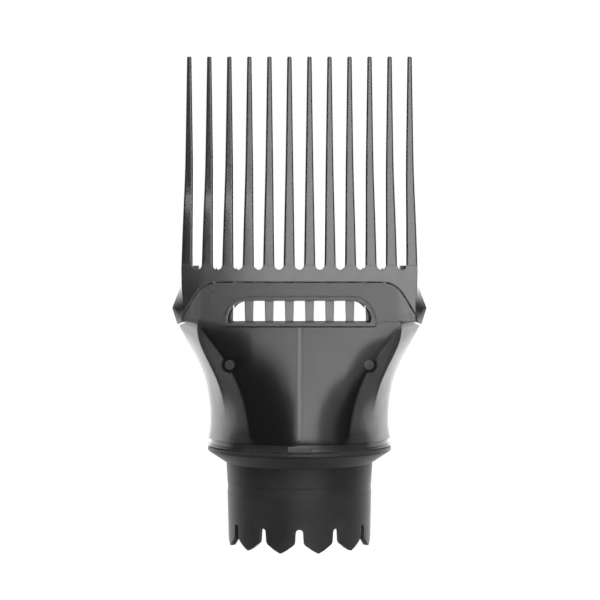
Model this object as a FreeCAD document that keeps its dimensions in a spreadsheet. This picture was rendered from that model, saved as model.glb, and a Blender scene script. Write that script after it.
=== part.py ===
import FreeCAD, Part
import math
import os

import Sketcher
from FreeCAD import Rotation, Vector

# Comb nozzle for a hair dryer: a flattened funnel of two shells, a comb cap that clips over its
# mouth, and a rubber sleeve that grips the dryer's barrel.
# Millimetres. X runs along the row of teeth, -Y is the front, +Z is up, towards the tooth tips.
# The origin is on the sleeve's axis, level with the tips of its fingers.

doc = FreeCAD.newDocument("comb_nozzle")

# Driving dimensions
sheet = doc.addObject("Spreadsheet::Sheet", "dimensions")
DIMENSIONS = [
    ("sleeve_radius", 25.5, "outside of the sleeve under its flare"),
    ("sleeve_tip_radius", 24.7, "outside of the sleeve at its fingers"),
    ("sleeve_bore_radius", 22.9, "grips the barrel of the dryer"),
    ("sleeve_rim_radius", 32.0, "outside of the flared rim"),
    ("sleeve_top", 34.1, "upper face of the rim"),
    ("rim_edge", 32.6, "height where the flare leaves the rim"),
    ("rim_fillet", 0.9, "rounding of the rim's upper edge"),
    ("flare_foot", 28.3, "height where the flare meets the cylinder"),
    ("band_bottom", 18.4, "lower edge of the shallow band"),
    ("band_top", 21.4, "upper edge of the shallow band"),
    ("band_radius", 25.12, "outside of the sleeve beside the band"),
    ("band_floor", 25.0, "outside of the sleeve in the band"),
    ("seat_radius", 27.4, "socket that takes the collar's lower spigot"),
    ("seat_floor", 31.9, "floor of that socket"),
    ("bore_top", 28.6, "height where the bore opens into the socket"),
    ("finger_count", 12, "fingers around the sleeve"),
    ("slot_top", 8.0, "round upper end of the slots between fingers"),
    ("slot_width", 2.3, "slot width at its upper end"),
    ("slot_mouth", 2.9, "slot width at the finger shoulders"),
    ("shoulder_height", 3.1, "height of the finger shoulders"),
    ("tip_bend", 4.4, "half distance between the bends above the tips of two fingers"),
    ("tip_bend_rise", 0.95, "height of those bends"),
    ("tip_reach", 5.9, "half distance between the flat tips of two fingers"),
    ("tip_rise", 0.12, "height where the scallops meet the flat tips"),
    ("finger_fillet", 1.8, "rounding of the shoulders and tips"),
    ("collar_radius", 31.9, "lower lip of the collar"),
    ("collar_waist", 31.0, "groove between the lip and the shells"),
    ("collar_bottom", 34.4, "underside of the lip"),
    ("lip_top", 34.95, "upper edge of the lip"),
    ("collar_top", 36.85, "upper face of the groove, under the shells"),
    ("collar_step", 35.7, "step between the two bores of the collar"),
    ("spigot_radius", 27.1, "lower spigot, inside the sleeve's socket"),
    ("spigot_bottom", 32.2, "lower end of the lower spigot"),
    ("collar_bore", 25.2, "air passage through the collar"),
    ("upper_spigot_radius", 29.6, "short spigot inside the shells"),
    ("upper_spigot_top", 38.6, "upper end of that spigot"),
    ("upper_spigot_bore", 27.9, "bore of that spigot"),
    ("key_width", 7.9, "flat key at the front of the collar's groove"),
    ("key_height", 1.9, "height of the key"),
    ("key_root", 28.5, "distance from the axis where the key starts, inside the ring"),
    ("shell_bottom", 36.9, "lower edge of the shells"),
    ("wall", 1.9, "wall of the shells"),
    ("neck_radius", 31.7, "outside of the shells at their lower edge"),
    ("waist_height", 44.0, "narrowest place of the neck"),
    ("waist_radius", 31.0, "outside of the shells there"),
    ("neck_corner", 25.0, "half width of the front arc at the neck"),
    ("head_base", 77.4, "height where the wide head starts"),
    ("mouth_height", 79.6, "upper end of the duct, inside the head"),
    ("panel_half", 34.2, "half width of the front panel under the head"),
    ("base_half", 42.8, "half width of the shells at head_base"),
    ("base_depth", 17.8, "half depth at head_base"),
    ("base_crown", 0.1, "crown of the front panel there"),
    ("base_bulge", 0.2, "bulge of the sides there"),
    ("corner_share", 0.8, "share of the wall that the neck's inner corners move in by"),
    ("mouth_share", 0.25, "share of the wall that the duct's mouth is narrower by"),
    ("front_slope", 0.309, "half depth lost per millimetre of height above head_base"),
    ("head_face_half", 39.4, "half width of the flat front of the head"),
    ("leg_bottom", 74.6, "lowest station of the comb's legs"),
    ("leg_half", 41.9, "half width of the comb there"),
    ("widest_height", 81.9, "height of the widest corner"),
    ("widest_half", 44.45, "half width at the widest corner"),
    ("root_height", 96.6, "top of the comb's walls, where the teeth start"),
    ("root_half", 41.2, "half width at the top of the comb's walls"),
    ("root_face_half", 40.4, "half width of the flat front at the top of the comb's walls"),
    ("comb_wall", 2.0, "wall of the comb"),
    ("cheek_depth", 5.2, "depth of the cheeks beside the head's flat front"),
    ("cheek_reach", 0.9, "how far the side facets run out past the cheeks"),
    ("cavity_facet", 0.8, "width of the facets at the ends of the shells' head cavity"),
    ("seam", 0.3, "open seam between the comb and the shells"),
    ("split", 0.1, "open seam between the two shells"),
    ("arch_half", 28.1, "half width of the arch's flat top"),
    ("arch_top", 90.9, "height of the arch's flat top"),
    ("arch_radius", 8.5, "radius of the arch's corners"),
    ("arch_turn", 60.0, "degrees that the arch's corners turn through"),
    ("arch_foot", 79.4, "height where the arch's straight side ends"),
    ("leg_inner", 39.9, "inner face of the legs"),
    ("leg_corner", 77.2, "inner lower corner of the legs"),
    ("tooth_count", 12, "teeth in the row"),
    ("tooth_pitch", 7.0, "distance between teeth"),
    ("tooth_top", 169.8, "tips of the teeth"),
    ("tooth_root_width", 3.9, "width of a tooth at its root"),
    ("tooth_tip_width", 1.6, "width of a tooth at its tip"),
    ("tooth_root_depth", 11.9, "half depth of a blade at its root"),
    ("tooth_tip_depth", 1.25, "half depth of a tooth at its tip"),
    ("prong_foot", 137.0, "height where the swept blade ends and the slender prong starts"),
    ("prong_depth", 1.6, "half depth of the prong there"),
    ("blade_edge", 0.55, "rounding of the long edges of a tooth"),
    ("tip_fillet", 0.55, "rounding of the tips"),
    ("dome_share", 0.8, "share of that rounding lost at the top of the tip's dome"),
    ("bar_count", 8, "blades that run on down behind the windows"),
    ("bar_bottom", 75.5, "lower ends of those bars"),
    ("bar_half_depth", 3.2, "half depth of the bars"),
    ("bar_end_width", 2.75, "width of the bars at their lower ends"),
    ("web_bottom", 91.6, "lower edge of the full webs between the comb's walls"),
    ("web_width", 3.55, "width of a web at its lower edge"),
    ("web_chamfer", 1.2, "height of the step from a web to its bar"),
    ("bar_width", 3.45, "width of a bar under the web"),
    ("latch_inner", 35.2, "inner face of a latch arm"),
    ("latch_thick", 1.3, "thickness of a latch arm"),
    ("latch_half_depth", 3.0, "half depth of a latch arm"),
    ("latch_bottom", 77.9, "lower end of a latch arm"),
    ("latch_top", 96.7, "upper end of a latch arm"),
    ("latch_foot", 0.75, "how far the foot of a latch stands out"),
    ("latch_foot_height", 1.6, "height of that foot"),
    ("latch_chamfer", 0.35, "chamfer of the foot's lower corner"),
    ("window_half", 24.5, "half width of the window at its sill"),
    ("window_flat", 18.4, "half width of the window's flat top"),
    ("window_bottom", 77.1, "sill of the window"),
    ("window_top", 84.4, "top of the window"),
    ("window_corner", 0.8, "lower corner of the window"),
    ("bezel_width", 1.4, "width of the window's bezel"),
    ("bezel_collar", 0.9, "wall of the bezel's collar"),
    ("bezel_seat", 0.8, "how deep the bezel's flange is let into the panel"),
    ("bezel_proud", 0.45, "how far the bezel stands out of the panel"),
    ("bezel_inset", 3.0, "how deep the bezel's collar reaches into the duct"),
    ("vane_thick", 1.3, "thickness of the centre vane"),
    ("vane_bottom", 38.9, "lower end of the vane and the guides"),
    ("vane_top", 75.2, "upper end of the centre vane"),
    ("guide_thick", 1.3, "thickness of the side guides"),
    ("guide_top", 76.2, "upper end of the room that the vane and the guides fill"),
    ("guide_clear", 0.05, "play between the inner pieces and the shells"),
    ("screw_x", 23.4, "distance of the screws from the middle"),
    ("screw_z", 62.9, "height of the screws"),
    ("screw_radius", 1.5, "shank of a screw"),
    ("screw_head_radius", 2.8, "head of a screw"),
    ("screw_head_height", 1.8, "height of a screw's head"),
    ("screw_tip", 19.6, "how far a screw reaches towards the front"),
    ("screw_seat", 17.8, "depth of the seat under a screw's head"),
    ("socket_radius", 0.9, "half width of the cross in a screw's head"),
    ("boss_radius", 3.9, "boss around a screw's head"),
    ("post_radius", 2.6, "post around a screw"),
    ("post_half", 13.0, "half length of the post between the shells' bosses"),
    ("play", 0.1, "radial play around the screws"),
]
# Stations of the free-form pieces: each number gets an alias such as funnel_height_1
STATIONS = {
    "funnel": (
        ("height", "half", "corner_x", "corner_y", "depth", "bulge"),
        [
            (50.5, 31.5, 25.8, 18.6, 28.9, 1.3),
            (57.0, 32.8, 27.6, 19.5, 26.0, 1.0),
            (63.5, 35.4, 30.5, 20.3, 23.0, 0.7),
            (70.0, 38.9, 33.5, 19.6, 20.3, 0.4),
        ],
    ),
    "shoulder": (
        ("height", "half", "face_half"),
        [(84.0, 43.75, 39.5), (88.2, 42.3, 40.0), (92.4, 41.5, 40.3)],
    ),
    "blade": (
        ("height", "depth"),
        [(98.6, 11.4), (105.0, 10.0), (112.0, 8.0), (118.0, 5.9), (124.0, 3.8), (130.0, 2.3)],
    ),
    "guide": (
        ("across", "height"),
        [(15.6, 36.0), (16.6, 45.0), (19.2, 54.5), (23.4, 62.9), (29.0, 70.6), (33.6, 76.0)],
    ),
}
for name, (columns, rows) in STATIONS.items():
    for number, numbers in enumerate(rows, start=1):
        for column, value in zip(columns, numbers):
            alias = f"{name}_{column}_{number}"
            DIMENSIONS.append((alias, value, f"{column} of {name} station {number}"))
for row, (alias, value, meaning) in enumerate(DIMENSIONS, start=1):
    sheet.set(f"A{row}", alias)
    sheet.set(f"B{row}", str(value))
    sheet.setAlias(f"B{row}", alias)
    sheet.set(f"C{row}", meaning)
doc.recompute()

REACH = 60.0  # longer than any part is wide or deep
TALL = 200.0  # higher than the whole nozzle
CHORD_GAP = 1 - math.sqrt(0.5)  # distance of a quarter arc's middle from both tangents, per radius
OVERLAP = 0.02  # how far two solids run into each other where they join


def size(alias):
    """A driving dimension's value."""
    return float(getattr(sheet, alias))


def stations(name):
    """The rows of numbers that the sheet holds for a free-form piece."""
    columns, rows = STATIONS[name]
    numbers = range(1, len(rows) + 1)
    return [[size(f"{name}_{column}_{number}") for column in columns] for number in numbers]


def bind(thing, **formulas):
    """Binds each property of a document object to a formula on the sheet's aliases."""
    for prop, formula in formulas.items():
        thing.setExpression(prop.replace("__", "."), formula)


def d(alias):
    return f"<<dimensions>>.{alias}"


def keep_shape(name, shape):
    """A document object that holds a free-form shape which no feature describes."""
    held = doc.addObject("Part::Feature", name)
    held.Shape = shape
    return held


def cut(name, base, tool):
    made = doc.addObject("Part::Cut", name)
    made.Base = base
    made.Tool = tool
    return made


def common(name, base, tool):
    made = doc.addObject("Part::Common", name)
    made.Base = base
    made.Tool = tool
    return made


def fuse(name, shapes):
    made = doc.addObject("Part::MultiFuse", name)
    made.Shapes = shapes
    made.Refine = True
    return made


def compound(name, links):
    made = doc.addObject("Part::Compound", name)
    made.Links = links
    return made


def box(name, low, high):
    """A box between two corners, each coordinate a formula."""
    made = doc.addObject("Part::Box", name)
    bind(
        made,
        Length=f"({high[0]}) - ({low[0]})",
        Width=f"({high[1]}) - ({low[1]})",
        Height=f"({high[2]}) - ({low[2]})",
        Placement__Base__x=low[0],
        Placement__Base__y=low[1],
        Placement__Base__z=low[2],
    )
    return made


def rod(name, radius, x, z, start, length):
    """A cylinder along +Y from start, every size a formula."""
    made = doc.addObject("Part::Cylinder", name)
    made.Placement = FreeCAD.Placement(Vector(), Rotation(Vector(1, 0, 0), -90))
    bind(
        made,
        Radius=radius,
        Height=length,
        Placement__Base__x=x,
        Placement__Base__y=start,
        Placement__Base__z=z,
    )
    return made


# Sections of the funnel and the head


def rounded_section(z, half, corner_x, corner_y, depth, bulge):
    """Closed section of six arcs: front, back, and two on each side that meet at the parting line."""
    wire = []
    side_x = (corner_x + half) / 2 + bulge
    for sign in (-1, 1):
        front = Part.Arc(
            Vector(sign * corner_x, sign * corner_y, z),
            Vector(0, sign * depth, z),
            Vector(-sign * corner_x, sign * corner_y, z),
        )
        wire.append(front.toShape())
        arcs = [
            (Vector(-sign * corner_x, sign * corner_y, z), Vector(-sign * half, 0, z), sign),
            (Vector(-sign * half, 0, z), Vector(-sign * corner_x, -sign * corner_y, z), -sign),
        ]
        for start, end, side in arcs:
            middle = Vector(-sign * side_x, side * corner_y / 2 * (1 + bulge / corner_y), z)
            wire.append(Part.Arc(start, middle, end).toShape())
    return Part.Wire(wire)


def faceted_section(z, half, corner_x, corner_y):
    """Closed six-sided section: flat front and back, and a facet on each side of the parting line."""
    points = [
        Vector(-corner_x, -corner_y, z),
        Vector(corner_x, -corner_y, z),
        Vector(half, 0, z),
        Vector(corner_x, corner_y, z),
        Vector(-corner_x, corner_y, z),
        Vector(-half, 0, z),
    ]
    return Part.makePolygon(points + points[:1])


def cheeked_section(z, half, corner_x, corner_y):
    """Closed ten-sided section: flat front and back, and at each end two cheeks beside two side facets."""
    side_x = half - size("cheek_reach")
    side_y = corner_y - size("cheek_depth")
    right = [(corner_x, -corner_y), (side_x, -side_y), (half, 0), (side_x, side_y), (corner_x, corner_y)]
    ring = right + [(-x, y) for x, y in reversed(right)]
    points = [Vector(x, y, z) for x, y in ring]
    return Part.makePolygon(points + points[:1])


def circle_corner(radius, corner_x):
    return math.sqrt(radius**2 - corner_x**2)


def circle_bulge(radius, corner_x):
    """How far a circle bulges over the chord between its corner and the parting line."""
    angle = math.acos(corner_x / radius) / 2
    return radius * math.cos(angle) - (corner_x + radius) / 2


def funnel(inset, top):
    """The funnel under the head: a round neck that flattens to the head's width. inset is the wall."""
    corner = size("neck_corner") - inset * size("corner_share")
    rows = []
    for height, outside in (("shell_bottom", "neck_radius"), ("waist_height", "waist_radius")):
        radius = size(outside) - inset
        corner_y = circle_corner(radius, corner)
        rows.append((size(height), radius, corner, corner_y, radius, circle_bulge(radius, corner)))
    for z, half, corner_x, corner_y, depth, bulge in stations("funnel"):
        rows.append((z, half - inset, corner_x - inset, corner_y - inset, depth - inset, bulge))
    half = size("base_half") - inset
    if top > size("head_base"):
        half -= inset * size("mouth_share")
    depth = size("base_depth") - inset
    corner_y = depth - size("base_crown")
    rows.append((top, half, size("panel_half") - inset, corner_y, depth, size("base_bulge")))
    return Part.makeLoft([rounded_section(*row) for row in rows], True, False)


def face_depth(z):
    """Half depth of the head's flat front at height z."""
    return size("base_depth") - size("front_slope") * (z - size("head_base"))


def head(inset, low, high):
    """The head's outside between two heights, or its inside when inset is the wall."""
    face_half = size("head_face_half")
    widest = (size("widest_height"), size("widest_half"), face_half)
    root_row = (size("root_height"), size("root_half"), size("root_face_half"))
    lower = [(size("leg_bottom"), size("leg_half"), face_half), widest]
    upper = [widest, *stations("shoulder"), root_row]
    solids = []
    for rows, ruled in ((lower, True), (upper, False)):
        wires = [
            cheeked_section(z, half - inset, corner - inset, face_depth(z) - inset)
            for z, half, corner in rows
        ]
        solids.append(Part.makeLoft(wires, True, ruled))
    whole = solids[0].fuse(solids[1])
    slab = Part.makeBox(2 * REACH, 2 * REACH, high - low, Vector(-REACH, -REACH, low))
    return whole.common(slab)


def front_prism(wire, low=-REACH, high=REACH):
    """Extrudes an outline in the XZ plane from y = low to y = high."""
    face = Part.Face(wire)
    face.translate(Vector(0, low, 0))
    return face.extrude(Vector(0, high - low, 0))


def mirrored_outline(edges):
    """Closes an outline from the edges of its right half."""
    half = Part.Wire(edges)
    other = half.mirror(Vector(), Vector(1, 0, 0))
    return Part.Wire(Part.__sortEdges__(half.Edges + other.Edges))


def line(start, end):
    return Part.LineSegment(start, end).toShape()


def at(x, z):
    return Vector(x, 0, z)


def below_arch(gap):
    """Everything under the line where comb and shells meet, kept a gap clear of it."""
    radius = size("arch_radius")
    centre = at(size("arch_half"), size("arch_top") - radius)
    turn = math.radians(size("arch_turn"))
    inner = radius - gap

    def on_arc(angle):
        return centre + at(inner * math.sin(angle), inner * math.cos(angle))

    run = (on_arc(turn).z - size("arch_foot")) / math.sin(turn)
    foot = on_arc(turn) + at(run * math.cos(turn), -run * math.sin(turn))
    corner = at(size("leg_inner") - gap, size("leg_corner") - gap)
    outside = at(size("widest_half") + 1, size("leg_bottom") - gap)
    low = size("shell_bottom") - 1
    edges = [
        line(at(0, on_arc(0).z), on_arc(0)),
        Part.Arc(on_arc(0), on_arc(turn / 2), on_arc(turn)).toShape(),
        line(on_arc(turn), foot),
        line(foot, corner),
        line(corner, outside),
        line(outside, at(outside.x, low)),
        line(at(outside.x, low), at(0, low)),
    ]
    return front_prism(mirrored_outline(edges))


def window(grow):
    """Outline of the window, grown on every side: a flat sill, a flat top and one quarter ellipse a side."""
    sill = size("window_bottom") - grow
    top = size("window_top") + grow
    half = size("window_half") + grow
    flat = size("window_flat")
    corner = size("window_corner")
    tall = top - sill - corner
    points = []
    for degrees in range(0, 91, 15):
        angle = math.radians(degrees)
        points.append(at(flat + (half - flat) * math.cos(angle), sill + corner + tall * math.sin(angle)))
    shoulder = Part.BSplineCurve()
    shoulder.interpolate(points)
    edges = [
        line(at(0, sill), at(half - corner, sill)),
        Part.Arc(
            at(half - corner, sill),
            at(half - corner * CHORD_GAP, sill + corner * CHORD_GAP),
            at(half, sill + corner),
        ).toShape(),
        shoulder.toShape(),
        line(points[-1], at(0, top)),
    ]
    return mirrored_outline(edges)


# Envelopes that the shells and the comb are cut from

wall = size("wall")
seam = size("seam")
funnel_outside = keep_shape("funnel_outside", funnel(0, size("head_base")))
funnel_inside = keep_shape("funnel_inside", funnel(wall, size("mouth_height")))
head_outside = keep_shape("head_outside", head(0, size("head_base") - OVERLAP, size("root_height")))


def head_cavity():
    """The room inside the shells' part of the head, open at the top."""
    half = size("leg_inner") - seam - wall
    heights = (size("head_base") + wall, size("root_height") + wall)
    wires = [faceted_section(z, half, half - size("cavity_facet"), face_depth(z) - wall) for z in heights]
    return Part.makeLoft(wires, True, True)


head_inside = keep_shape("head_inside", head_cavity())
shell_limit = keep_shape("shell_limit", below_arch(seam))
shell_solid = common("shell_solid", fuse("shell_envelope", [funnel_outside, head_outside]), shell_limit)
duct = fuse("duct", [funnel_inside, head_inside])

# Windows and bezels

window_hole = keep_shape("window_hole", front_prism(window(0)))
bezel_ring = keep_shape(
    "bezel_ring", front_prism(window(size("bezel_width"))).cut(front_prism(window(0)))
)
collar_ring = keep_shape(
    "collar_ring", front_prism(window(size("bezel_collar"))).cut(front_prism(window(0)))
)


def head_slab(outer, inner):
    """Both flat faces of the head as slabs, from outer millimetres outside them to inner inside."""
    slabs = []
    for offset in (outer, -inner):
        heights = (size("leg_bottom") - size("bezel_width"), size("root_height"))
        wires = [faceted_section(z, REACH, REACH - 1, face_depth(z) + offset) for z in heights]
        slabs.append(Part.makeLoft(wires, True, True))
    return slabs[0].cut(slabs[1])


flange_slab = keep_shape("flange_slab", head_slab(size("bezel_proud"), size("bezel_seat")))
collar_slab = keep_shape("collar_slab", head_slab(size("bezel_proud"), size("bezel_inset")))
bezel_pair = fuse(
    "bezel_pair",
    [
        common("bezel_flanges", bezel_ring, flange_slab),
        common("bezel_collars", collar_ring, collar_slab),
    ],
)
half_split = f"{d('split')} / 2"
front_half = box("front_half", (f"-{REACH}", f"-{REACH}", "0"), (f"{REACH}", f"-{half_split}", f"{TALL}"))
rear_half = box("rear_half", (f"-{REACH}", half_split, "0"), (f"{REACH}", f"{REACH}", f"{TALL}"))
for side, half in (("front", front_half), ("rear", rear_half)):
    bezel = common(f"{side}_window_bezel", bezel_pair, half)
    bezel.Label = f"{side}_window_bezel"

# Screws: a countersunk seat in the rear shell, a clear post in each guide, a blind boss in front


def at_screws(name, make):
    """The same piece at both screws, as one object."""
    pair = [make(f"{name}_left", f"-{d('screw_x')}"), make(f"{name}_right", d("screw_x"))]
    return compound(name, pair)


def screw_rod(radius, start, length):
    def make(name, x):
        return rod(name, radius, x, d("screw_z"), start, length)

    return make


play = d("play")
boss_start = f"{d('post_half')} + {play}"
rear_bosses = at_screws("rear_bosses", screw_rod(d("boss_radius"), boss_start, f"{REACH}"))
front_bosses = at_screws(
    "front_bosses",
    screw_rod(d("post_radius"), f"-{REACH}", f"{REACH} - ({boss_start})"),
)
head_seats = at_screws(
    "head_seats",
    screw_rod(f"{d('screw_head_radius')} + {play}", d("screw_seat"), f"{REACH}"),
)
shank_holes = at_screws(
    "shank_holes",
    screw_rod(f"{d('screw_radius')} + {play}", f"-{d('screw_tip')} - {play}", f"{REACH}"),
)
duct_with_bosses = cut("duct_with_bosses", duct, compound("bosses", [front_bosses, rear_bosses]))
shell_ring = cut("shell_ring", shell_solid, duct_with_bosses)
front_body = common("front_body", shell_ring, front_half)
rear_body = common("rear_body", shell_ring, rear_half)
shell_cuts = {
    "front_shell": (front_body, [window_hole, bezel_pair, shank_holes]),
    "rear_shell": (rear_body, [window_hole, bezel_pair, shank_holes, head_seats]),
}
for label, (body, tools) in shell_cuts.items():
    shaped = body
    for number, tool in enumerate(tools, start=1):
        shaped = cut(f"{label}_{number}", shaped, tool)
    shaped.Label = label


def screw(name, x):
    """A pan-head screw along Y with its head to the rear and a cross recess."""
    z = d("screw_z")
    tip = d("screw_tip")
    under_head = f"{d('screw_seat')} + {d('guide_clear')}"
    shank = rod(f"{name}_shank", d("screw_radius"), x, z, f"-{tip}", f"{tip} + {under_head} + {OVERLAP}")
    top = rod(f"{name}_head", d("screw_head_radius"), x, z, under_head, d("screw_head_height"))
    whole = fuse(f"{name}_solid", [shank, top])
    head_end = f"{under_head} + {d('screw_head_height')}"
    arm = d("socket_radius")
    blades = []
    for tag, wide, tall in (("a", f"2 * {arm}", f"{arm} / 2"), ("b", f"{arm} / 2", f"2 * {arm}")):
        low = (f"{x} - ({wide}) / 2 ", f"{head_end} - {arm}", f"{z} - ({tall}) / 2")
        high = (f"{x} + ({wide}) / 2", f"{head_end} + {arm}", f"{z} + ({tall}) / 2")
        blades.append(box(f"{name}_recess_{tag}", low, high))
    return cut(name, whole, fuse(f"{name}_cross", blades))


at_screws("shell_screws", screw).Label = "shell_screws"

# Centre vane and side guides, between the shells' inner faces

clear = size("guide_clear")
inner_space = keep_shape("inner_space", funnel(wall + clear, size("guide_top")))
above_spigot = box(
    "above_spigot",
    (f"-{REACH}", f"-{REACH}", d("vane_bottom")),
    (f"{REACH}", f"{REACH}", d("vane_top")),
)
inner_room = common("inner_room", inner_space, above_spigot)
vane_plate = box(
    "vane_plate",
    (f"-{d('vane_thick')} / 2", f"-{REACH}", "0"),
    (f"{d('vane_thick')} / 2", f"{REACH}", f"{TALL}"),
)
centre_vane = common("centre_vane", inner_room, vane_plate)
centre_vane.Label = "centre_vane"


def guide_outline(side):
    """A curved strip in the XZ plane, from beside the neck out to the shoulder of the shells."""
    thick = size("guide_thick")
    spine = [at(x, z) for x, z in stations("guide")]
    curves = []
    for shift in (-thick / 2, thick / 2):
        points = []
        for number, point in enumerate(spine):
            before = spine[max(number - 1, 0)]
            after = spine[min(number + 1, len(spine) - 1)]
            along = (after - before).normalize()
            points.append(at(side * (point.x + along.z * shift), point.z - along.x * shift))
        curve = Part.BSplineCurve()
        curve.interpolate(points)
        curves.append((curve.toShape(), points))
    (inner, a), (outer, b) = curves
    return Part.Wire(Part.__sortEdges__([inner, outer, line(a[0], b[0]), line(a[-1], b[-1])]))


post_room = screw_rod(d("post_radius"), f"-{d('post_half')}", f"2 * {d('post_half')}")
for name, side in (("left", -1), ("right", 1)):
    strip = keep_shape(f"{name}_guide_strip", front_prism(guide_outline(side)))
    x = d("screw_x") if side > 0 else f"-{d('screw_x')}"
    bosses_clear = cut(f"{name}_strip_front", common(f"{name}_strip", inner_room, strip), front_bosses)
    strip_clear = cut(f"{name}_strip_rear", bosses_clear, rear_bosses)
    posted = fuse(f"{name}_guide_solid", [strip_clear, post_room(f"{name}_post", x)])
    guide = cut(f"{name}_air_guide", posted, shank_holes)
    guide.Label = f"{name}_air_guide"

# Comb: two walls joined by blades that run up into the teeth

comb_outside = keep_shape("comb_outside", head(0, size("leg_bottom"), size("root_height")))
comb_inside = keep_shape("comb_inside", head(size("comb_wall"), size("leg_bottom"), size("root_height")))
comb_limit = keep_shape("comb_limit", below_arch(0))
comb_walls = cut("comb_walls", cut("comb_cap", comb_outside, comb_inside), comb_limit)


def tooth_places(count):
    pitch = size("tooth_pitch")
    return [(number - (count - 1) / 2) * pitch for number in range(count)]


def blade_section(z, width, depth, corner):
    """Rounded rectangle, width along X and twice depth along Y."""
    x = width / 2
    low = [(-x, -depth + corner), (-x + corner, -depth), (x - corner, -depth), (x, -depth + corner)]
    ring = low + [(-px, -py) for px, py in low]
    points = [Vector(px, py, z) for px, py in ring]
    edges = []
    for number in range(0, 8, 2):
        start, end = points[number], points[number + 1]
        out = Vector(
            math.copysign(x - corner, start.x + end.x),
            math.copysign(depth - corner, start.y + end.y),
            z,
        )
        bisector = ((start + end) * 0.5 - out).normalize()
        edges.append(Part.Arc(start, out + bisector * corner, end).toShape())
        edges.append(line(end, points[(number + 2) % 8]))
    return Part.Wire(edges)


def tooth_shape():
    """One tooth: a deep blade at the root that sweeps in to a slender prong with a domed tip."""
    root = size("root_height")
    tip = size("tip_fillet")
    dome_foot = size("tooth_top") - tip
    tip_width = size("tooth_tip_width")
    tip_depth = size("tooth_tip_depth")
    prong_foot = size("prong_foot")
    prong_depth = size("prong_depth")

    def width_at(z):
        share = (z - root) / (dome_foot - root)
        return size("tooth_root_width") + (tip_width - size("tooth_root_width")) * share

    foot = (root - size("blade_edge"), size("tooth_root_depth"))
    sweep = [foot, *stations("blade"), (prong_foot, prong_depth)]
    edge = size("blade_edge")
    rows = [[(z, width_at(z) - OVERLAP, depth, edge) for z, depth in sweep]]
    rows.append([rows[0][-1], (dome_foot, tip_width, tip_depth, edge)])
    dome = []
    for degrees in (0, 25, 50, 75):
        angle = math.radians(degrees)
        shrink = tip * (1 - math.cos(angle))
        height = dome_foot + tip * math.sin(angle)
        corner = edge * (1 - shrink / tip * size("dome_share"))
        dome.append((height, tip_width - 2 * shrink, tip_depth - shrink, corner))
    rows.append(dome)
    solids = []
    for number, stretch in enumerate(rows):
        solids.append(Part.makeLoft([blade_section(*station) for station in stretch], True, number > 0))
    return solids[0].multiFuse(solids[1:])


def bar_shape(root, bottom):
    """A full web between the comb's walls, with a narrow bar under it."""
    half = size("bar_half_depth")
    web = size("web_bottom")
    buried = size("comb_wall") / 2
    rows = [
        (root, size("tooth_root_width"), face_depth(root) - buried),
        (web, size("web_width"), face_depth(web) - buried),
        (web - size("web_chamfer"), size("bar_width"), half),
        (bottom, size("bar_end_width"), half),
    ]
    solids = []
    for upper, lower in zip(rows, rows[1:]):
        wires = []
        for z, width, depth in (lower, upper):
            x = width / 2
            corners = [(-x, -depth), (x, -depth), (x, depth), (-x, depth), (-x, -depth)]
            wires.append(Part.makePolygon([Vector(px, py, z) for px, py in corners]))
        solids.append(Part.makeLoft(wires, True, True))
    return solids[0].multiFuse(solids[1:])


root = size("root_height")
one_tooth = tooth_shape()
long_bar = bar_shape(root - OVERLAP, size("bar_bottom"))
short_bar = bar_shape(root - OVERLAP, size("web_bottom") - size("web_chamfer") - size("blade_edge"))
barred = [round(x, 3) for x in tooth_places(int(size("bar_count")))]
pieces = []
for x in tooth_places(int(size("tooth_count"))):
    for shape in (one_tooth, long_bar if round(x, 3) in barred else short_bar):
        piece = shape.copy()
        piece.translate(Vector(x, 0, 0))
        pieces.append(piece)
teeth = keep_shape("teeth", pieces[0].multiFuse(pieces[1:]))
gap_radius = (size("tooth_pitch") - size("tooth_root_width")) / 2
notches = []
for x in tooth_places(int(size("tooth_count")) - 1):
    notches.append(Part.makeCylinder(gap_radius, 2 * REACH, Vector(x, -REACH, root), Vector(0, 1, 0)))
gap_floors = keep_shape("gap_floors", Part.makeCompound(notches))
comb = cut("comb", fuse("comb_solid", [comb_walls, teeth]), gap_floors)
comb.Label = "comb"

# Latches: an arm on each side of the comb that reaches down into the shells


def latch_outline(side):
    inner = size("latch_inner")
    outer = inner + size("latch_thick")
    low = size("latch_bottom")
    foot = outer + size("latch_foot")
    tall = size("latch_foot_height")
    points = [
        at(inner, size("latch_top")),
        at(inner, low),
        at(foot - size("latch_chamfer"), low),
        at(foot, low + size("latch_chamfer")),
        at(outer, low + tall),
        at(outer, size("latch_top")),
    ]
    corners = [at(side * p.x, p.z) for p in points]
    return Part.makePolygon(corners + corners[:1])


for name, side in (("left", -1), ("right", 1)):
    half = size("latch_half_depth")
    latch = keep_shape(f"{name}_latch", front_prism(latch_outline(side), -half, half))
    latch.Label = f"{name}_latch"

# Sleeve and collar: turned sections, with slots or a key added


def plane(body, role):
    return next(f for f in body.Origin.OriginFeatures if f.Role == role)


def new_sketch(body, name, role):
    sketch = body.newObject("Sketcher::SketchObject", name)
    sketch.AttachmentSupport = (plane(body, role), "")
    sketch.MapMode = "FlatFace"
    return sketch


def hold(sketch, geometry, end, x, y):
    """Ties one end of a line to the sheet: x and y are (sign, formula) pairs, or None on an axis."""
    for kind, axis, place in (("DistanceX", -2, x), ("DistanceY", -1, y)):
        if place is None:
            sketch.addConstraint(Sketcher.Constraint("PointOnObject", geometry, end, axis))
            continue
        sign, formula = place
        ends = (-1, 1, geometry, end) if sign > 0 else (geometry, end, -1, 1)
        index = sketch.addConstraint(Sketcher.Constraint(kind, *ends, 1.0))
        sketch.setExpression(f"Constraints[{index}]", formula)


def number_of(place):
    """The value that a (sign, formula) pair has now."""
    if place is None:
        return 0.0
    sign, formula = place
    return sign * float(sheet.evalExpression(formula.replace("<<dimensions>>.", "")))


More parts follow.
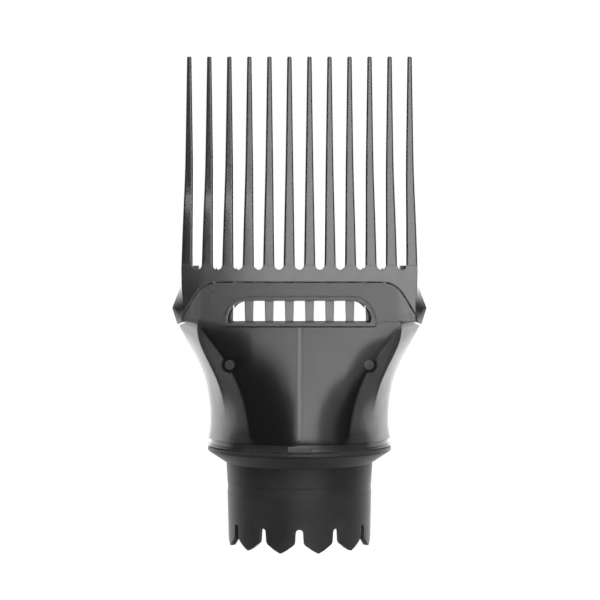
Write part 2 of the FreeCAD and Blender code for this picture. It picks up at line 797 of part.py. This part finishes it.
def draw_outline(sketch, corners):
    """A closed outline of lines through corners that are tied to the sheet."""
    spots = [Vector(number_of(x), number_of(y), 0) for x, y in corners]
    count = len(spots)
    for number in range(count):
        sketch.addGeometry(Part.LineSegment(spots[number], spots[(number + 1) % count]), False)
    for number in range(count):
        sketch.addConstraint(Sketcher.Constraint("Coincident", number, 2, (number + 1) % count, 1))
    for number, (x, y) in enumerate(corners):
        hold(sketch, number, 1, x, y)


def plus(formula):
    return (1, formula)


def minus(formula):
    return (-1, formula)


def turned_body(label, corners):
    """A body turned about Z from a closed outline of (radius, height) aliases."""
    body = doc.addObject("PartDesign::Body", label)
    body.Label = label
    section = new_sketch(body, f"{label}_section", "XZ_Plane")
    draw_outline(section, [(plus(d(r)), plus(d(z)) if z else None) for r, z in corners])
    doc.recompute()
    turned = body.newObject("PartDesign::Revolution", f"{label}_turned")
    turned.Profile = section
    turned.ReferenceAxis = (section, ["V_Axis"])
    turned.Angle = 360
    doc.recompute()
    return body


def round_edges(body, name, formula, chosen):
    """Fillets the edges of the body's tip that chosen accepts."""
    base = body.Tip
    names = [f"Edge{n}" for n, edge in enumerate(base.Shape.Edges, start=1) if chosen(edge)]
    rounded = body.newObject("PartDesign::Fillet", name)
    rounded.Base = (base, names)
    rounded.setExpression("Radius", formula)
    doc.recompute()
    return rounded


def level(edge, z):
    return abs(edge.BoundBox.ZMin - z) < 0.01 and abs(edge.BoundBox.ZMax - z) < 0.01


sleeve = turned_body(
    "plain_sleeve",
    [
        ("sleeve_bore_radius", None),
        ("sleeve_tip_radius", None),
        ("band_radius", "band_bottom"),
        ("band_floor", "band_bottom"),
        ("band_floor", "band_top"),
        ("band_radius", "band_top"),
        ("sleeve_radius", "flare_foot"),
        ("sleeve_rim_radius", "rim_edge"),
        ("sleeve_rim_radius", "sleeve_top"),
        ("seat_radius", "sleeve_top"),
        ("seat_radius", "seat_floor"),
        ("sleeve_bore_radius", "bore_top"),
    ],
)
rim_edges = (size("sleeve_top"), size("rim_edge"))
round_edges(
    sleeve,
    "rim_rounding",
    d("rim_fillet"),
    lambda e: e.BoundBox.XMax > size("sleeve_rim_radius") - 0.1 and any(level(e, z) for z in rim_edges),
)


def rounded_outline(corners):
    """Closed outline in the XZ plane through (x, z, radius) corners, each rounded by a tangent arc."""
    count = len(corners)
    arcs = []
    for number, (x, z, radius) in enumerate(corners):
        here = at(x, z)
        if not radius:
            arcs.append((here, here, None))
            continue
        before = (at(*corners[number - 1][:2]) - here).normalize()
        after = (at(*corners[(number + 1) % count][:2]) - here).normalize()
        half_angle = before.getAngle(after) / 2
        reach = radius / math.tan(half_angle)
        centre = here + (before + after).normalize() * (radius / math.sin(half_angle))
        middle = centre + (here - centre).normalize() * radius
        start, end = here + before * reach, here + after * reach
        arcs.append((start, end, Part.Arc(start, middle, end).toShape()))
    edges = []
    for number, (start, end, arc) in enumerate(arcs):
        if arc:
            edges.append(arc)
        edges.append(line(end, arcs[(number + 1) % count][0]))
    return Part.Wire(edges)


def finger_slots():
    """The cutters between the fingers: round-ended slots that open out to the tips."""
    half = size("slot_width") / 2
    mouth = size("slot_mouth") / 2
    reach = size("tip_reach")
    fillet = size("finger_fillet")
    right = [
        (half, size("slot_top"), half - OVERLAP),
        (mouth, size("shoulder_height"), fillet),
        (size("tip_bend"), size("tip_bend_rise"), fillet),
        (reach, size("tip_rise"), fillet),
        (reach + fillet, -fillet, 0),
    ]
    outline = rounded_outline(right + [(-x, z, r) for x, z, r in reversed(right)])
    one = front_prism(outline, -REACH, 0)
    step = 360 / size("finger_count")
    cutters = []
    for number in range(int(size("finger_count"))):
        cutter = one.copy()
        cutter.rotate(Vector(), Vector(0, 0, 1), number * step)
        cutters.append(cutter)
    return Part.makeCompound(cutters)


fingered = cut("adapter_sleeve", sleeve, keep_shape("finger_slots", finger_slots()))
fingered.Label = "adapter_sleeve"

collar = turned_body(
    "neck_collar",
    [
        ("collar_bore", "spigot_bottom"),
        ("spigot_radius", "spigot_bottom"),
        ("spigot_radius", "collar_bottom"),
        ("collar_radius", "collar_bottom"),
        ("collar_radius", "lip_top"),
        ("collar_waist", "lip_top"),
        ("collar_waist", "collar_top"),
        ("upper_spigot_radius", "collar_top"),
        ("upper_spigot_radius", "upper_spigot_top"),
        ("upper_spigot_bore", "upper_spigot_top"),
        ("upper_spigot_bore", "collar_step"),
        ("collar_bore", "collar_step"),
    ],
)
key_sketch = new_sketch(collar, "key", "XZ_Plane")
key_sketch.setExpression("AttachmentOffset.Base.z", d("key_root"))
half_key = f"{d('key_width')} / 2"
key_low = plus(f"{d('collar_bottom')} + {OVERLAP}")
key_high = plus(f"{d('collar_bottom')} + {d('key_height')}")
draw_outline(
    key_sketch,
    [
        (minus(half_key), key_low),
        (plus(half_key), key_low),
        (plus(half_key), key_high),
        (minus(half_key), key_high),
    ],
)
doc.recompute()
ring_volume = collar.Shape.Volume
key = collar.newObject("PartDesign::Pad", "key_pad")
key.Profile = key_sketch
key.setExpression("Length", f"{d('collar_radius')} - {d('key_root')}")
doc.recompute()
if key.Shape.Volume < ring_volume + 1:
    raise SystemExit("the key adds nothing to the collar")

# Checks, then one file for each sub-part

doc.recompute()
SUB_PARTS = [
    "comb",
    "left_latch",
    "right_latch",
    "front_shell",
    "rear_shell",
    "front_window_bezel",
    "rear_window_bezel",
    "centre_vane",
    "left_air_guide",
    "right_air_guide",
    "shell_screws",
    "neck_collar",
    "adapter_sleeve",
]
for thing in doc.Objects:
    if "Invalid" in thing.State or "Error" in thing.State:
        raise SystemExit(f"{thing.Name} failed: {thing.State}")
os.makedirs("parts", exist_ok=True)
for label in SUB_PARTS:
    shape = doc.getObjectsByLabel(label)[0].Shape
    if shape.isNull() or not shape.isValid():
        raise SystemExit(f"{label} has no valid shape")
    print(f"{label}: {len(shape.Solids)} solid(s), {shape.Volume:.0f} mm3")
    shape.exportStep(f"parts/{label}.step")
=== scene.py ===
import math

import bpy
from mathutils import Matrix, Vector


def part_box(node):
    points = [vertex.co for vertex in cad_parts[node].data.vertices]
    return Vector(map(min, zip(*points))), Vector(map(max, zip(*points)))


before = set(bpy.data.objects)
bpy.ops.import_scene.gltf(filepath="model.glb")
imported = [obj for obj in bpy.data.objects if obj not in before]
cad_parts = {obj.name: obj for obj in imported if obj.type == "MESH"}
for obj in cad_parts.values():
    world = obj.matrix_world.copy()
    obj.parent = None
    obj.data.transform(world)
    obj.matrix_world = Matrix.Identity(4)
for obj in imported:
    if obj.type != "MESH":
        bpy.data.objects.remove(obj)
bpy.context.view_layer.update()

# Looks for the comb nozzle: smoke-grey plastic comb and shells over a black rubber sleeve, in a
# white product-photo set. Metres, same frame as the CAD: X along the teeth, -Y the front, +Z up.

MM = 0.001
MICRON = 0.000001

# Inside the shells: the line of the side guides, as (distance from the middle, height), the screw
# posts on it, and the heights between which the duct is seen
GUIDE_MM = [(15.6, 36.0), (16.6, 45.0), (19.2, 54.5), (23.4, 62.9), (29.0, 70.6), (33.6, 76.0)]
GUIDE = [(across * MM, height * MM) for across, height in GUIDE_MM]
GUIDE_SPAN = 40 * MM
POST_X, POST_Z = GUIDE[3]
DUCT_LOW, DUCT_HIGH = (corner.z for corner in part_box("centre_vane"))
DUCT_FADE = 0.5 * MM

# Painted shade and painted light for these pieces seen through the shells, as distances where each is full
# and where it is gone
GUIDE_SHADE = (0.35 * MM, 1.0 * MM)
VANE_SHADE = (0.9 * MM, 1.7 * MM)
VANE_LIT_FACE = (0.45 * MM, 0.8 * MM)
POST_SHADE_RING = (2.3 * MM, 2.9 * MM)
POST_LIT_FACE = (1.5 * MM, 1.9 * MM)
POST_SHADE = (1.6 * MM, 3.0 * MM)
SHADE_X = POST_X - 2.6 * MM
SHADE_Z = POST_Z + 1.0 * MM

# Tones and clearness of the shells: painted shade between the guides, painted light outside them, painted
# shade over a piece and painted light on its face
SHADED_CENTRE_TONES = (0.022, 0.032)
LIT_SIDE_TONES = (0.17, 0.20)
LIT_SIDE_STARTS = -1.0 * MM
LIT_SIDE_FULL = 2.0 * MM
PAINTED_SHADE_TONE = 0.012
PAINTED_LIGHT_TONE = 0.060
BODY_CLEAR = 0.88
PAINTED_LIGHT_CLEAR = 0.25

# Below the window the sides of the front are shaded as if they turned away: from this distance on, by
# this curve, and fading between these heights
TURN_FROM = 15 * MM
TURN_PER_METRE = -14.0
TURN_FADE = (64 * MM, 78 * MM)

# Noise lies mostly within the first range and nearly always within the second
NOISE_MIDDLE = (0.35, 0.65)
NOISE_WIDE = (0.3, 0.7)
CLOUD_PER_METRE = 28.0
DRIFT_PER_METRE = 60.0

# Hairline rubs on the smoke plastics, long in height: they start and are full at these noise values
RUB_PER_METRE = 900.0
RUB_STRETCH = (1.0, 1.0, 0.06)
RUB_NOISE = (0.64, 0.74)
RUB_ROUGH = 0.04

# Rubber: dust and worn edges lighten it
RUBBER_DARK = (0.016, 0.016, 0.0165)
RUBBER_LIGHT = (0.034, 0.034, 0.035)
DUST_NOISE = (0.35, 0.7)
DUST_SHARE = 0.6
WORN_EDGE = (0.52, 0.60)
WORN_SHARE = 0.35

ZINC_DARK = (0.34, 0.34, 0.35)
ZINC_LIGHT = (0.62, 0.62, 0.63)
TURNED_STRETCH = (1.0, 8.0, 1.0)

# Set: pure white for the camera, and these strengths for light and reflections
WHITE = (1, 1, 1, 1)
SEEN_STRENGTH = 1.0
DIM = 0.20
BRIGHT = 1.8
OVERHEAD = 2.0
BEHIND_FADE = (0.30, 0.72)
OVERHEAD_FADE = (0.76, 0.92)
FLOOR_FADE = (0.02, 0.22)
FLOOR_SIZE = 6.0
SLEEVE_TRAVEL = 30 * MM
FLOOR_GAP = 0.5 * MM

# Lights: level strips on an arc in front, between two heights in degrees; one left edge per strip
MIDDLE = Vector((0, 0, 0.09))
KEY_DISTANCE = 0.95
KEY_LOW = -12
KEY_HIGH = 52
KEY_LEFT_EDGES = (-0.060,) * 5 + (-0.062, -0.068, -0.150)
KEY_RIGHT_EDGE = 0.40
KEY_RADIANCE = 6.0
CARD_RIGHT_EDGE = 0.95
CARD_RADIANCE = 1.3

CAMERA_PLACE = (0.0002, -0.525, 0.0847)
LENS_MM = 90
SENSOR_MM = 36


# Node helpers


def new_material(name):
    """A material with an empty node tree."""
    mat = bpy.data.materials.new(name)
    mat.use_nodes = True
    mat.node_tree.nodes.clear()
    return mat


def grey(value):
    """A grey with a trace of blue."""
    return (value, value, value * 1.02)


class Graph:
    """Short calls for building one node tree."""

    def __init__(self, tree):
        self.tree = tree
        self.nodes = tree.nodes

    def add(self, kind, **settings):
        made = self.nodes.new(kind)
        for key, value in settings.items():
            setattr(made, key, value)
        return made

    def join(self, start, end):
        self.tree.links.new(start, end)

    def place(self):
        """Object coordinates, in metres."""
        return self.add("ShaderNodeTexCoord").outputs["Object"]

    def parts(self, vector):
        """The outputs X, Y and Z of a vector."""
        made = self.add("ShaderNodeSeparateXYZ")
        self.join(vector, made.inputs["Vector"])
        return made.outputs

    def stretched(self, vector, scale):
        made = self.add("ShaderNodeMapping")
        made.inputs["Scale"].default_value = scale
        self.join(vector, made.inputs["Vector"])
        return made.outputs["Vector"]

    def noise(self, vector, per_metre, detail):
        made = self.add("ShaderNodeTexNoise")
        made.inputs["Scale"].default_value = per_metre
        made.inputs["Detail"].default_value = detail
        made.inputs["Roughness"].default_value = 0.55
        self.join(vector, made.inputs["Vector"])
        return made.outputs["Fac"]

    def span(self, value, low, high, to_low, to_high, smooth=False):
        """Maps value from low..high to to_low..to_high, clamped."""
        made = self.add("ShaderNodeMapRange", clamp=True)
        made.interpolation_type = "SMOOTHSTEP" if smooth else "LINEAR"
        for key, number in zip(("From Min", "From Max", "To Min", "To Max"), (low, high, to_low, to_high)):
            made.inputs[key].default_value = number
        self.join(value, made.inputs["Value"])
        return made.outputs["Result"]

    def fade(self, value, full, gone):
        """1 as far as full, 0 from gone on, and smooth between."""
        return self.span(value, full, gone, 1, 0, smooth=True)

    def maths(self, operation, a, b=0):
        made = self.add("ShaderNodeMath", operation=operation)
        for socket, value in zip(made.inputs, (a, b)):
            if isinstance(value, (int, float)):
                socket.default_value = value
            else:
                self.join(value, socket)
        return made.outputs["Value"]

    def blend(self, factor, a, b):
        """From colour a to colour b; each is three numbers or an output."""
        made = self.add("ShaderNodeMix", data_type="RGBA")
        for key, colour in (("A", a), ("B", b)):
            if isinstance(colour, tuple):
                made.inputs[key].default_value = (*colour, 1)
            else:
                self.join(colour, made.inputs[key])
        self.join(factor, made.inputs["Factor"])
        return made.outputs["Result"]

    def bump(self, height, distance, normal, strength=1.0):
        made = self.add("ShaderNodeBump")
        made.inputs["Strength"].default_value = strength
        made.inputs["Distance"].default_value = distance
        self.join(height, made.inputs["Height"])
        self.join(normal, made.inputs["Normal"])
        return made.outputs["Normal"]

    def round_edges(self, radius):
        made = self.add("ShaderNodeBevel", samples=6)
        made.inputs["Radius"].default_value = radius
        return made.outputs["Normal"]

    def pointiness(self):
        """About 0.5 on flat faces and more on convex edges."""
        return self.add("ShaderNodeNewGeometry").outputs["Pointiness"]

    def principled(self, **values):
        """A Principled shader joined to the material's output; underscores stand for spaces."""
        shader = self.add("ShaderNodeBsdfPrincipled")
        for key, value in values.items():
            shader.inputs[key.replace("_", " ")].default_value = value
        out = self.add("ShaderNodeOutputMaterial")
        self.join(shader.outputs["BSDF"], out.inputs["Surface"])
        return shader

    def white_to_camera(self, emitter, output, strength):
        """Pure white for the camera, and white of the given strength for light and reflections."""
        hidden = self.add(emitter)
        seen = self.add(emitter)
        for node in (hidden, seen):
            node.inputs["Color"].default_value = WHITE
        self.join(strength, hidden.inputs["Strength"])
        seen.inputs["Strength"].default_value = SEEN_STRENGTH
        mix = self.add("ShaderNodeMixShader")
        self.join(self.add("ShaderNodeLightPath").outputs["Is Camera Ray"], mix.inputs["Fac"])
        self.join(hidden.outputs[0], mix.inputs[1])
        self.join(seen.outputs[0], mix.inputs[2])
        self.join(mix.outputs["Shader"], self.add(output).inputs["Surface"])


# Materials


def finish_smoke(g, shader, place, rough, grain, grain_size, edge, wave, form=None):
    """Moulded surface of the smoke plastics: drifting gloss, hairline rubs, fine grain and soft edges."""
    fine = g.noise(place, 1 / grain_size, detail=2.0)
    drift = g.noise(place, DRIFT_PER_METRE, detail=4.0)
    hairlines = g.noise(g.stretched(place, RUB_STRETCH), RUB_PER_METRE, detail=2.0)
    rub = g.span(hairlines, *RUB_NOISE, 0, RUB_ROUGH)
    level = g.span(drift, *NOISE_WIDE, *rough)
    g.join(g.maths("ADD", level, rub), shader.inputs["Roughness"])
    base = g.round_edges(edge)
    if form is not None:
        base = g.bump(form, 1.0, base)
    waves = g.bump(drift, wave, base, strength=0.5)
    g.join(g.bump(fine, grain, waves), shader.inputs["Normal"])


def smoke_plastic(name, tones, rough, transmission, grain, grain_size, edge, wave):
    """Translucent smoke-grey plastic. grain and wave are heights of its moulded texture."""
    mat = new_material(name)
    g = Graph(mat.node_tree)
    shader = g.principled(IOR=1.5, Transmission_Weight=transmission)
    place = g.place()
    cloud = g.span(g.noise(place, CLOUD_PER_METRE, detail=3.0), *NOISE_MIDDLE, 0, 1)
    g.join(g.blend(cloud, grey(tones[0]), grey(tones[1])), shader.inputs["Base Color"])
    finish_smoke(g, shader, place, rough, grain, grain_size, edge, wave)
    return mat


def guide_distance(g, z):
    """How far the side guides lie from the middle at a height, as a curve through their stations."""
    low, high = GUIDE[0][1], GUIDE[-1][1]
    made = g.add("ShaderNodeFloatCurve")
    points = made.mapping.curves[0].points
    spots = [((height - low) / (high - low), across / GUIDE_SPAN) for across, height in GUIDE]
    points[0].location = spots[0]
    points[1].location = spots[-1]
    for spot in spots[1:-1]:
        points.new(*spot)
    made.mapping.update()
    g.join(g.span(z, low, high, 0, 1), made.inputs["Value"])
    return g.maths("MULTIPLY", made.outputs["Value"], GUIDE_SPAN)


def disc(g, x, z, centre_x, centre_z, fade):
    """1 near a point on each side of the shell, 0 away from it."""
    dx = g.maths("SUBTRACT", x, centre_x)
    dz = g.maths("SUBTRACT", z, centre_z)
    away = g.maths("SQRT", g.maths("ADD", g.maths("MULTIPLY", dx, dx), g.maths("MULTIPLY", dz, dz)))
    return g.fade(away, *fade)


def painted_inner_shade_and_light(g, x, z, past_guide):
    """Painted shade where an inner piece lies behind the shell, and painted light where its face catches
    light; both from 0 to 1.
    """
    over_low = g.span(z, DUCT_LOW - DUCT_FADE, DUCT_LOW, 0, 1)
    under_high = g.span(z, DUCT_HIGH, DUCT_HIGH + DUCT_FADE, 1, 0)
    in_duct = g.maths("MULTIPLY", over_low, under_high)
    vane = g.fade(x, *VANE_SHADE)
    guide = g.fade(g.maths("ABSOLUTE", past_guide), *GUIDE_SHADE)
    ring = disc(g, x, z, POST_X, POST_Z, POST_SHADE_RING)
    shade = disc(g, x, z, SHADE_X, SHADE_Z, POST_SHADE)
    painted_shade = g.maths("MAXIMUM", g.maths("MAXIMUM", vane, guide), g.maths("MAXIMUM", ring, shade))
    painted_light = g.maths("MAXIMUM", g.fade(x, *VANE_LIT_FACE), disc(g, x, z, POST_X, POST_Z, POST_LIT_FACE))
    return g.maths("MULTIPLY", painted_shade, in_duct), g.maths("MULTIPLY", painted_light, in_duct)


def turned_front(g, x, z):
    """Height in metres that turns the sides of the front away from the light below the window."""
    past = g.maths("MAXIMUM", g.maths("SUBTRACT", x, TURN_FROM), 0)
    turn = g.maths("MULTIPLY", g.maths("MULTIPLY", past, past), TURN_PER_METRE)
    return g.maths("MULTIPLY", turn, g.fade(z, *TURN_FADE))


def shell_plastic():
    """Satin smoke plastic of the shells, with painted shade and painted light drawn on it for the pieces
    inside, and for the duct between the guides.
    """
    mat = new_material("shell_smoke_satin")
    g = Graph(mat.node_tree)
    shader = g.principled(IOR=1.41)
    place = g.place()
    spot = g.parts(place)
    x = g.maths("ABSOLUTE", spot["X"])
    z = spot["Z"]
    past_guide = g.maths("SUBTRACT", x, guide_distance(g, z))
    painted_shade, painted_light = painted_inner_shade_and_light(g, x, z, past_guide)
    cloud = g.span(g.noise(place, CLOUD_PER_METRE, detail=3.0), *NOISE_MIDDLE, 0, 1)
    # Painted shade between the guides and painted light outside them
    centre = g.blend(cloud, grey(SHADED_CENTRE_TONES[0]), grey(SHADED_CENTRE_TONES[1]))
    sides = g.blend(cloud, grey(LIT_SIDE_TONES[0]), grey(LIT_SIDE_TONES[1]))
    body = g.blend(g.span(past_guide, LIT_SIDE_STARTS, LIT_SIDE_FULL, 0, 1, smooth=True), centre, sides)
    # Painted shade over the inner pieces, and painted light on their faces
    body = g.blend(painted_shade, body, grey(PAINTED_SHADE_TONE))
    g.join(g.blend(painted_light, body, grey(PAINTED_LIGHT_TONE)), shader.inputs["Base Color"])
    g.join(g.span(painted_light, 0, 1, BODY_CLEAR, PAINTED_LIGHT_CLEAR), shader.inputs["Transmission Weight"])
    finish_smoke(
        g,
        shader,
        place,
        rough=(0.20, 0.25),
        grain=5 * MICRON,
        grain_size=0.4 * MM,
        edge=0.4 * MM,
        wave=8 * MICRON,
        form=turned_front(g, x, z),
    )
    return mat


def rubber():
    """Matt black moulded rubber: fine grain, drifting dust and lighter worn edges."""
    mat = new_material("sleeve_rubber")
    g = Graph(mat.node_tree)
    shader = g.principled(IOR=1.5, Specular_IOR_Level=0.22, Sheen_Weight=0.3, Sheen_Roughness=0.4)
    place = g.place()
    dust = g.noise(place, per_metre=70.0, detail=5.0)
    wear = g.span(g.pointiness(), *WORN_EDGE, 0, WORN_SHARE)
    tone = g.maths("ADD", g.span(dust, *DUST_NOISE, 0, DUST_SHARE), wear)
    g.join(g.blend(tone, RUBBER_DARK, RUBBER_LIGHT), shader.inputs["Base Color"])
    g.join(g.span(dust, *NOISE_WIDE, 0.42, 0.54), shader.inputs["Roughness"])
    skin = g.noise(place, per_metre=800.0, detail=3.0)
    skin = g.bump(skin, 50 * MICRON, g.round_edges(0.3 * MM), strength=0.5)
    pores = g.noise(place, per_metre=3200.0, detail=2.0)
    g.join(g.bump(pores, 30 * MICRON, skin, strength=0.7), shader.inputs["Normal"])
    return mat


def black_plastic(name, tone, rough):
    """Opaque black plastic with a faint moulded grain."""
    mat = new_material(name)
    g = Graph(mat.node_tree)
    shader = g.principled(IOR=1.5)
    place = g.place()
    cloud = g.noise(place, per_metre=120.0, detail=4.0)
    body = g.blend(g.span(cloud, *NOISE_MIDDLE, 0, 1), grey(tone), grey(tone * 1.5))
    g.join(body, shader.inputs["Base Color"])
    g.join(g.span(cloud, *NOISE_WIDE, rough, rough + 0.06), shader.inputs["Roughness"])
    grain = g.noise(place, per_metre=2500.0, detail=2.0)
    g.join(g.bump(grain, 4 * MICRON, g.round_edges(0.25 * MM), strength=0.6), shader.inputs["Normal"])
    return mat


def screw_metal():
    """Zinc-plated steel with turned marks."""
    mat = new_material("screw_metal")
    g = Graph(mat.node_tree)
    shader = g.principled(Metallic=1.0)
    place = g.place()
    cloud = g.noise(place, per_metre=900.0, detail=4.0)
    g.join(g.blend(cloud, ZINC_DARK, ZINC_LIGHT), shader.inputs["Base Color"])
    g.join(g.span(cloud, *NOISE_WIDE, 0.25, 0.42), shader.inputs["Roughness"])
    rings = g.noise(g.stretched(place, TURNED_STRETCH), per_metre=2500.0, detail=2.0)
    g.join(g.bump(rings, 20 * MICRON, g.round_edges(0.15 * MM), strength=0.5), shader.inputs["Normal"])
    return mat


def dress(node, mat):
    """Gives a CAD node its finished material."""
    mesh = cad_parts[node].data
    mesh.materials.clear()
    mesh.materials.append(mat)


gloss = smoke_plastic(
    "comb_smoke_gloss",
    tones=(0.010, 0.016),
    rough=(0.10, 0.15),
    transmission=0.85,
    grain=1 * MICRON,
    grain_size=0.6 * MM,
    edge=0.4 * MM,
    wave=4 * MICRON,
)
satin = shell_plastic()
inner = smoke_plastic(
    "inner_smoke",
    tones=(0.05, 0.07),
    rough=(0.30, 0.40),
    transmission=0.2,
    grain=5 * MICRON,
    grain_size=0.5 * MM,
    edge=0.2 * MM,
    wave=20 * MICRON,
)
latch = black_plastic("latch_black", 0.012, 0.28)
FINISHES = {
    "comb": gloss,
    "left_latch": latch,
    "right_latch": latch,
    "front_shell": satin,
    "rear_shell": satin,
    "front_window_bezel": satin,
    "rear_window_bezel": satin,
    "centre_vane": inner,
    "left_air_guide": inner,
    "right_air_guide": inner,
    "shell_screws": screw_metal(),
    "neck_collar": black_plastic("collar_dark", 0.016, 0.16),
    "adapter_sleeve": rubber(),
}
for node, mat in FINISHES.items():
    dress(node, mat)


# Set: white backdrop and floor, lights and camera


def white_world():
    """A backdrop that is bright behind and above and dim elsewhere, and pure white for the camera."""
    world = bpy.data.worlds.new("studio")
    bpy.context.scene.world = world
    world.use_nodes = True
    world.node_tree.nodes.clear()
    g = Graph(world.node_tree)
    way = g.parts(g.add("ShaderNodeTexCoord").outputs["Generated"])
    behind = g.span(way["Y"], *BEHIND_FADE, DIM, BRIGHT, smooth=True)
    above = g.span(way["Z"], *OVERHEAD_FADE, 0, OVERHEAD, smooth=True)
    g.white_to_camera("ShaderNodeBackground", "ShaderNodeOutputWorld", g.maths("MAXIMUM", behind, above))


def floor():
    """A plain white floor that joins the backdrop, just under the sleeve when it is pulled off."""
    bpy.ops.mesh.primitive_plane_add(size=FLOOR_SIZE, location=(0, 0, -SLEEVE_TRAVEL - FLOOR_GAP))
    ground = bpy.context.object
    ground.name = "floor"
    mat = new_material("floor_white")
    g = Graph(mat.node_tree)
    behind = g.span(g.parts(g.place())["Y"], *FLOOR_FADE, DIM, BRIGHT, smooth=True)
    g.white_to_camera("ShaderNodeEmission", "ShaderNodeOutputMaterial", behind)
    ground.data.materials.append(mat)


def soft_box(name, place, aim, width, height, power):
    """A rectangular light of the given watts, turned towards aim."""
    data = bpy.data.lights.new(name, "AREA")
    data.shape = "RECTANGLE"
    data.size = width
    data.size_y = height
    data.energy = power
    lamp = bpy.data.objects.new(name, data)
    lamp.location = place
    lamp.rotation_euler = (aim - place).to_track_quat("-Z", "Y").to_euler()
    bpy.context.scene.collection.objects.link(lamp)


def light_column(name, left_edges, right_edge, radiance):
    """A tall soft light in front, bent round the object as a column of level strips."""
    step = (KEY_HIGH - KEY_LOW) / len(left_edges)
    height = 2 * KEY_DISTANCE * math.tan(math.radians(step / 2))
    for row, left_edge in enumerate(left_edges):
        rise = math.radians(KEY_LOW + step * (row + 0.5))
        ahead = Vector((0, -math.cos(rise), math.sin(rise))) * KEY_DISTANCE
        width = right_edge - left_edge
        place = MIDDLE + ahead + Vector((left_edge + width / 2, 0, 0))
        soft_box(f"{name}_{row}", place, place - ahead, width, height, radiance * math.pi * width * height)


def camera():
    """Level with the top of the window, half a metre in front of the nozzle, through a long lens."""
    data = bpy.data.cameras.new("camera")
    data.lens = LENS_MM
    data.sensor_width = SENSOR_MM
    eye = bpy.data.objects.new("camera", data)
    eye.location = CAMERA_PLACE
    eye.rotation_euler = (math.radians(90), 0, 0)
    bpy.context.scene.collection.objects.link(eye)
    bpy.context.scene.camera = eye


white_world()
floor()
light_column("key", KEY_LEFT_EDGES, KEY_RIGHT_EDGE, KEY_RADIANCE)
light_column("card", (KEY_RIGHT_EDGE,) * len(KEY_LEFT_EDGES), CARD_RIGHT_EDGE, CARD_RADIANCE)
camera()
bpy.context.scene.view_settings.view_transform = "Standard"
bpy.context.scene.view_settings.look = "None"
